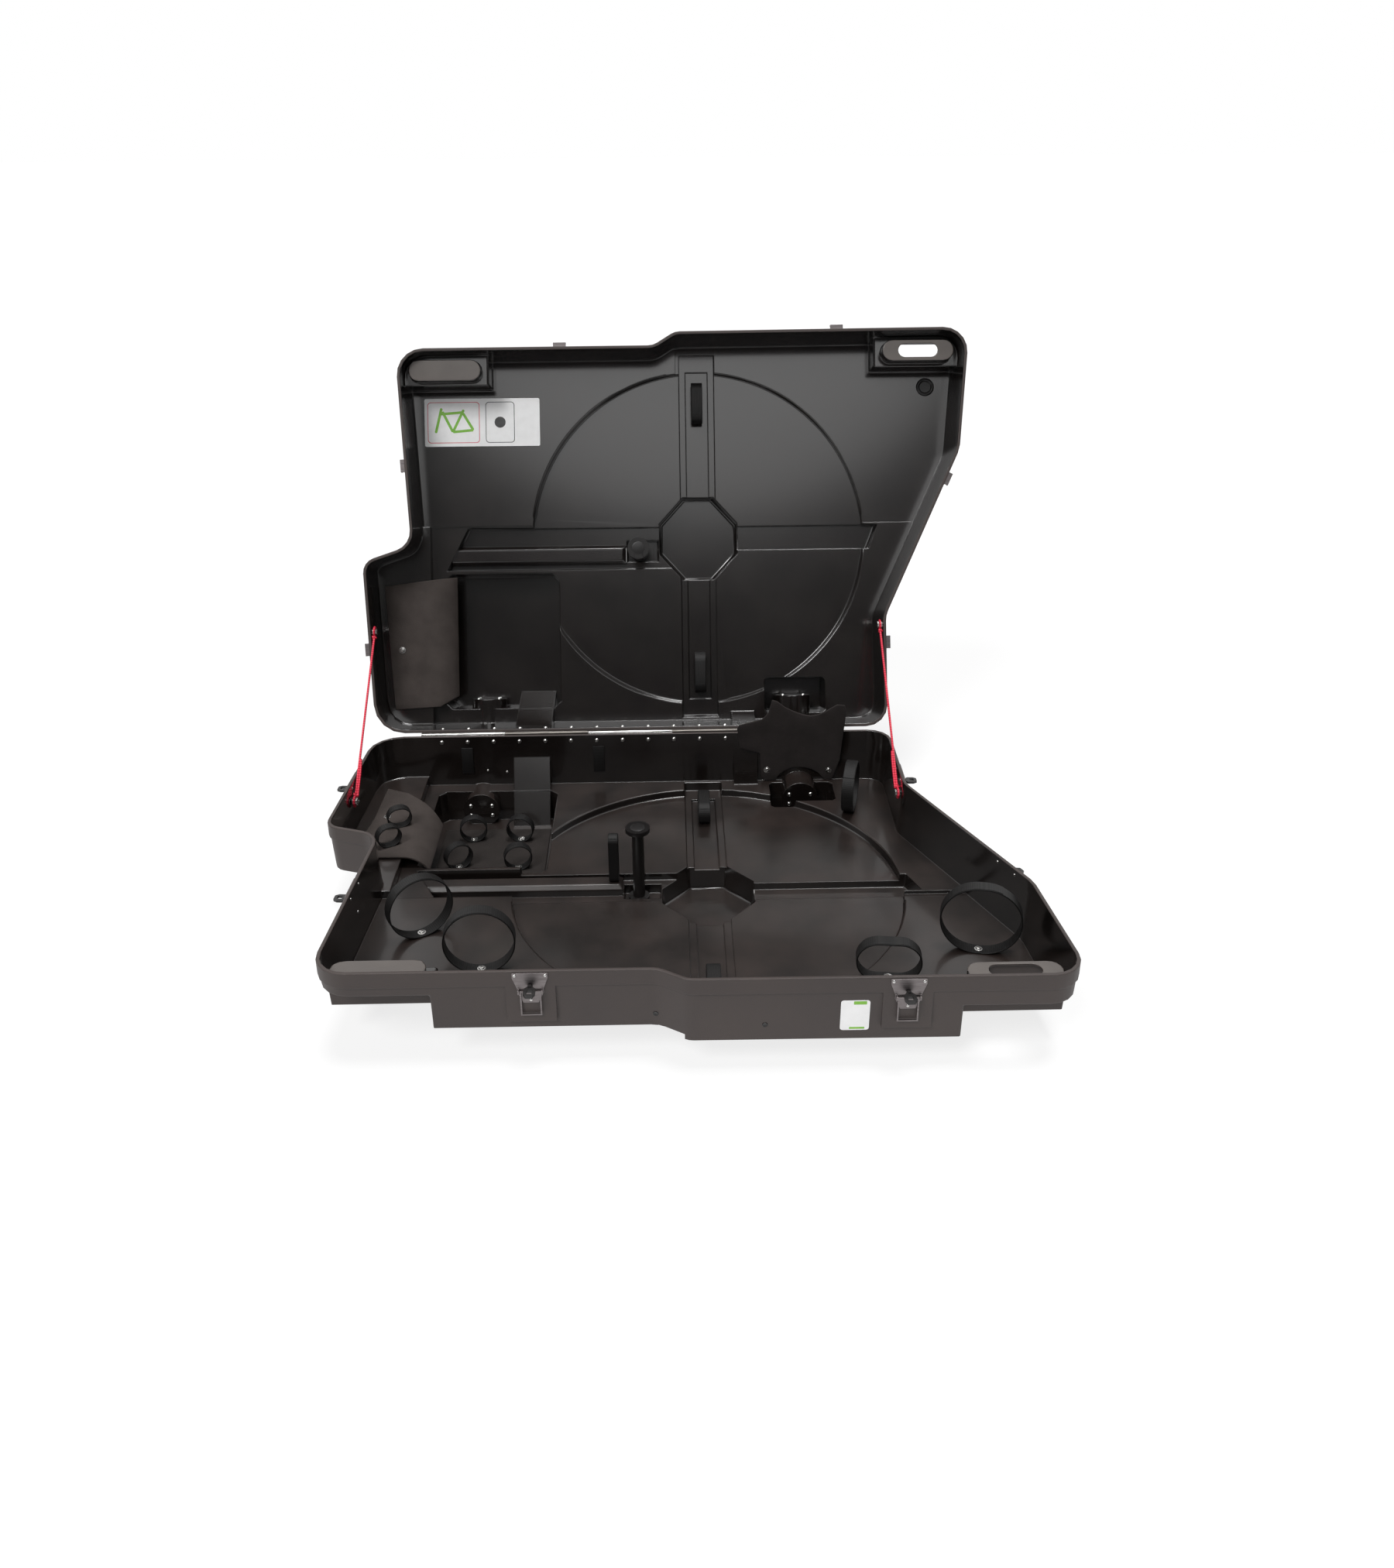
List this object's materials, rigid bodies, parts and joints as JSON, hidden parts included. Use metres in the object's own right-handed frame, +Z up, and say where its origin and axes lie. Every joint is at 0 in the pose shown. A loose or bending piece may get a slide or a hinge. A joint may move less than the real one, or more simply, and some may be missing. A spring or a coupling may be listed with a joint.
{
  "type": "bike travel case",
  "caption": "Open clamshell travel case for a bicycle: moulded halves on a piano hinge, with casters, turn latches, straps, foam sheets and lid lanyards.",
  "frame": {"origin": "on the floor under the wheel hub's centre in the base half", "axes": "+X to the viewer's right along the hinge, +Y from the front edge towards the hinge, +Z up"},
  "size_m": [1.4037, 1.4107, 1.0489],
  "materials": {
    "shell": "gloss black thermoformed sheet",
    "steel": "bright plated steel",
    "lever": "black painted steel",
    "tread": "grey rubber",
    "lanyard": "red braided cord",
    "foam": "matte closed-cell foam sheet",
    "post": "satin black plastic",
    "webbing": "woven black webbing"
  },
  "bodies": {
    "base": {"base_shell": "shell", "base_side_pad": "foam", "caster_plates_base": "steel", "floor_loops": "webbing", "frame_guard": "foam", "hinge_leaf_base": "steel", "hinge_pin": "steel", "lanyard_left": "lanyard", "lanyard_right": "lanyard", "lanyard_studs_base": "steel", "latch_plates": "steel", "pad_loops": "webbing", "post_base": "post", "tool_loops": "webbing", "tool_mat": "foam", "wall_straps": "webbing", "wheel_straps_base": "webbing"},
    "lid": {"caster_plates_lid": "steel", "hinge_leaf_lid": "steel", "lanyard_studs_lid": "steel", "latch_keepers": "steel", "lid_shell": "shell", "lid_side_pad": "foam", "post_lid": "post", "wheel_straps_lid": "webbing"},
    "caster_base_left": {"caster_fork_base_left": "steel", "caster_axle_base_left": "steel"},
    "caster_base_left_wheel": {"caster_wheel_base_left": "tread"},
    "caster_base_right": {"caster_fork_base_right": "steel", "caster_axle_base_right": "steel"},
    "caster_base_right_wheel": {"caster_wheel_base_right": "tread"},
    "caster_lid_left": {"caster_fork_lid_left": "steel", "caster_axle_lid_left": "steel"},
    "caster_lid_left_wheel": {"caster_wheel_lid_left": "tread"},
    "caster_lid_right": {"caster_fork_lid_right": "steel", "caster_axle_lid_right": "steel"},
    "caster_lid_right_wheel": {"caster_wheel_lid_right": "tread"},
    "latch_front_left": {"latch_handle_front_left": "lever"},
    "latch_front_left_hook": {"latch_bail_front_left": "steel"},
    "latch_front_right": {"latch_handle_front_right": "lever"},
    "latch_front_right_hook": {"latch_bail_front_right": "steel"},
    "latch_left_front": {"latch_handle_left_front": "lever"},
    "latch_left_front_hook": {"latch_bail_left_front": "steel"},
    "latch_left_rear": {"latch_handle_left_rear": "lever"},
    "latch_left_rear_hook": {"latch_bail_left_rear": "steel"},
    "latch_right_front": {"latch_handle_right_front": "lever"},
    "latch_right_front_hook": {"latch_bail_right_front": "steel"},
    "latch_right_rear": {"latch_handle_right_rear": "lever"},
    "latch_right_rear_hook": {"latch_bail_right_rear": "steel"}
  },
  "joints": [
    {"name": "lid_hinge", "type": "hinge", "parent": "base", "child": "lid", "pos_m": [0, 0.447, 0.196], "axis": [1, 0, 0], "range_deg": [0, 112], "deforming": ["lanyard_left", "lanyard_right"]},
    {"name": "caster_base_left_swivel", "type": "hinge", "parent": "base", "child": "caster_base_left", "pos_m": [-0.504, 0.379, 0.038], "axis": [0, 1, 0], "continuous": true},
    {"name": "caster_base_left_wheel_spin", "type": "hinge", "parent": "caster_base_left", "child": "caster_base_left_wheel", "pos_m": [-0.494, 0.458, 0.038], "axis": [0, 0, 1], "continuous": true},
    {"name": "caster_base_right_swivel", "type": "hinge", "parent": "base", "child": "caster_base_right", "pos_m": [0.22, 0.379, 0.055], "axis": [0, 1, 0], "continuous": true},
    {"name": "caster_base_right_wheel_spin", "type": "hinge", "parent": "caster_base_right", "child": "caster_base_right_wheel", "pos_m": [0.23, 0.458, 0.055], "axis": [0, 0, 1], "continuous": true},
    {"name": "caster_lid_left_swivel", "type": "hinge", "parent": "lid", "child": "caster_lid_left", "pos_m": [-0.504, 0.61897, 0.19986], "axis": [0, -0.3746, -0.9272], "continuous": true},
    {"name": "caster_lid_left_wheel_spin", "type": "hinge", "parent": "caster_lid_left", "child": "caster_lid_left_wheel", "pos_m": [-0.494, 0.58937, 0.12661], "axis": [0, -0.9272, 0.3746], "continuous": true},
    {"name": "caster_lid_right_swivel", "type": "hinge", "parent": "lid", "child": "caster_lid_right", "pos_m": [0.22, 0.60321, 0.20623], "axis": [0, -0.3746, -0.9272], "continuous": true},
    {"name": "caster_lid_right_wheel_spin", "type": "hinge", "parent": "caster_lid_right", "child": "caster_lid_right_wheel", "pos_m": [0.23, 0.57361, 0.13298], "axis": [0, -0.9272, 0.3746], "continuous": true},
    {"name": "latch_front_left_turn", "type": "hinge", "parent": "base", "child": "latch_front_left", "pos_m": [-0.312, -0.43257, 0.168], "axis": [-0.0034, -1, 0], "range_deg": [0, 180]},
    {"name": "latch_front_left_hook_swing", "type": "hinge", "parent": "base", "child": "latch_front_left_hook", "pos_m": [-0.31201, -0.43477, 0.158], "axis": [-1, 0.0034, 0], "range_deg": [0, 180]},
    {"name": "latch_front_right_turn", "type": "hinge", "parent": "base", "child": "latch_front_right", "pos_m": [0.31824, -0.46704, 0.168], "axis": [-0.0074, -1, 0], "range_deg": [0, 180]},
    {"name": "latch_front_right_hook_swing", "type": "hinge", "parent": "base", "child": "latch_front_right_hook", "pos_m": [0.31822, -0.46924, 0.158], "axis": [-1, 0.0074, 0], "range_deg": [0, 180]},
    {"name": "latch_left_front_turn", "type": "hinge", "parent": "base", "child": "latch_left_front", "pos_m": [-0.66904, -0.16467, 0.168], "axis": [-0.9979, 0.0652, 0], "range_deg": [0, 180]},
    {"name": "latch_left_front_hook_swing", "type": "hinge", "parent": "base", "child": "latch_left_front_hook", "pos_m": [-0.67124, -0.16453, 0.158], "axis": [0.0652, 0.9979, 0], "range_deg": [0, 180]},
    {"name": "latch_left_rear_turn", "type": "hinge", "parent": "base", "child": "latch_left_rear", "pos_m": [-0.75606, 0.25124, 0.168], "axis": [-0.9981, 0.0614, 0], "range_deg": [0, 180]},
    {"name": "latch_left_rear_hook_swing", "type": "hinge", "parent": "base", "child": "latch_left_rear_hook", "pos_m": [-0.75825, 0.25138, 0.158], "axis": [0.0614, 0.9981, 0], "range_deg": [0, 180]},
    {"name": "latch_right_front_turn", "type": "hinge", "parent": "base", "child": "latch_right_front", "pos_m": [0.56882, -0.12189, 0.168], "axis": [0.9093, 0.4162, 0], "range_deg": [0, 180]},
    {"name": "latch_right_front_hook_swing", "type": "hinge", "parent": "base", "child": "latch_right_front_hook", "pos_m": [0.57082, -0.12098, 0.158], "axis": [0.4162, -0.9093, 0], "range_deg": [0, 180]},
    {"name": "latch_right_rear_turn", "type": "hinge", "parent": "base", "child": "latch_right_rear", "pos_m": [0.42678, 0.2498, 0.168], "axis": [1, -0.0079, 0], "range_deg": [0, 180]},
    {"name": "latch_right_rear_hook_swing", "type": "hinge", "parent": "base", "child": "latch_right_rear_hook", "pos_m": [0.42898, 0.24978, 0.158], "axis": [-0.0079, -1, 0], "range_deg": [0, 180]}
  ]
}
